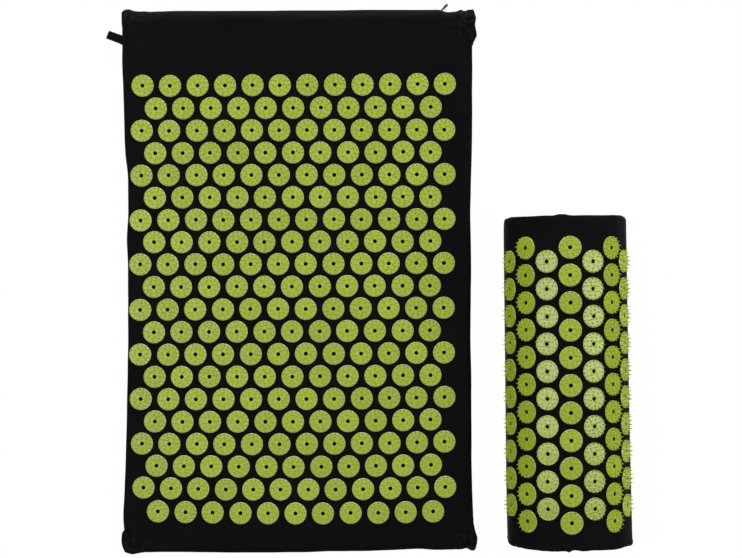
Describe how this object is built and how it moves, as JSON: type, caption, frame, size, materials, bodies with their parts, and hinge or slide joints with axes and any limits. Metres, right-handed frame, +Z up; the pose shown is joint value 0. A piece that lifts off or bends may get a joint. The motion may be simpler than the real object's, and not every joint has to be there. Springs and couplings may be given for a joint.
{
  "type": "acupressure mat",
  "caption": "Padded black cotton mat with a staggered field of spiked lime plastic rosettes, a zip and a webbing tab, and a half-round neck pillow with rosettes beside it.",
  "frame": {"origin": "middle of the mat's flat underside, on the surface that the mat lies on", "axes": "+X to the mat's right, where the pillow lies; +Y along the mat to its head end, which has the zip; +Z up"},
  "size_m": [0.6334, 0.6617, 0.1056],
  "materials": {
    "cotton_cover": "matte",
    "foam": "matte",
    "lime_plastic": "gloss",
    "zip_tape": "matte",
    "zip_coil": "satin",
    "zip_metal": "satin",
    "pull_metal": "satin",
    "webbing": "matte"
  },
  "bodies": {
    "mat": {"mat_top_panel": "cotton_cover", "mat_bottom_panel": "cotton_cover", "mat_foam_core": "foam", "mat_rosette_row_01": "lime_plastic", "mat_rosette_row_02": "lime_plastic", "mat_rosette_row_03": "lime_plastic", "mat_rosette_row_04": "lime_plastic", "mat_rosette_row_05": "lime_plastic", "mat_rosette_row_06": "lime_plastic", "mat_rosette_row_07": "lime_plastic", "mat_rosette_row_08": "lime_plastic", "mat_rosette_row_09": "lime_plastic", "mat_rosette_row_10": "lime_plastic", "mat_rosette_row_11": "lime_plastic", "mat_rosette_row_12": "lime_plastic", "mat_rosette_row_13": "lime_plastic", "mat_rosette_row_14": "lime_plastic", "mat_rosette_row_15": "lime_plastic", "mat_rosette_row_16": "lime_plastic", "mat_rosette_row_17": "lime_plastic", "mat_rosette_row_18": "lime_plastic", "mat_rosette_row_19": "lime_plastic", "mat_rosette_row_20": "lime_plastic", "mat_zip_upper_tape": "zip_tape", "mat_zip_lower_tape": "zip_tape", "mat_zip_chain": "zip_coil", "mat_zip_stop_start": "zip_metal", "mat_zip_stop_end": "zip_metal"},
    "side_tab": {"mat_side_tab": "webbing"},
    "mat_zip_slider": {"mat_zip_slider": "zip_metal"},
    "mat_zip_pull": {"mat_zip_pull": "pull_metal"},
    "pillow": {"pillow_top_panel": "cotton_cover", "pillow_base_panel": "cotton_cover", "pillow_head_end_panel": "cotton_cover", "pillow_foot_end_panel": "cotton_cover", "pillow_foam_core": "foam", "pillow_rosette_column_1": "lime_plastic", "pillow_rosette_column_2": "lime_plastic", "pillow_rosette_column_3": "lime_plastic", "pillow_rosette_column_4": "lime_plastic", "pillow_rosette_column_5": "lime_plastic", "pillow_rosette_column_6": "lime_plastic", "pillow_rosette_column_7": "lime_plastic", "pillow_zip_upper_tape": "zip_tape", "pillow_zip_lower_tape": "zip_tape", "pillow_zip_chain": "zip_coil", "pillow_zip_stop_start": "zip_metal", "pillow_zip_stop_end": "zip_metal"},
    "pillow_zip_slider": {"pillow_zip_slider": "zip_metal"},
    "pillow_zip_pull": {"pillow_zip_pull": "pull_metal"}
  },
  "joints": [
    {"name": "side_tab_flap", "type": "hinge", "parent": "mat", "child": "side_tab", "pos_m": [-0.21417, 0.2895, 0.0105], "axis": [0, 1, 0], "range_deg": [-26, 80]},
    {"name": "mat_zip_travel", "type": "slide", "parent": "mat", "child": "mat_zip_slider", "axis": [-1, 0, 0], "range_m": [0, 0.3405]},
    {"name": "mat_zip_pull_swing", "type": "hinge", "parent": "mat_zip_slider", "child": "mat_zip_pull", "pos_m": [0.1704, 0.3246, 0.0105], "axis": [0, 0, 1], "range_deg": [-44, 134]},
    {"name": "pillow_lift", "type": "slide", "parent": "mat", "child": "pillow", "axis": [0, 0, 1], "range_m": [0, 0.2]},
    {"name": "pillow_zip_travel", "type": "slide", "parent": "pillow", "child": "pillow_zip_slider", "axis": [-0.0105, 0.9999, 0], "range_m": [0, 0.3]},
    {"name": "pillow_zip_pull_swing", "type": "hinge", "parent": "pillow_zip_slider", "child": "pillow_zip_pull", "pos_m": [0.39262, -0.26896, 0.01226], "axis": [0.1104, 0.0012, 0.9939], "range_deg": [-174, 4]}
  ]
}
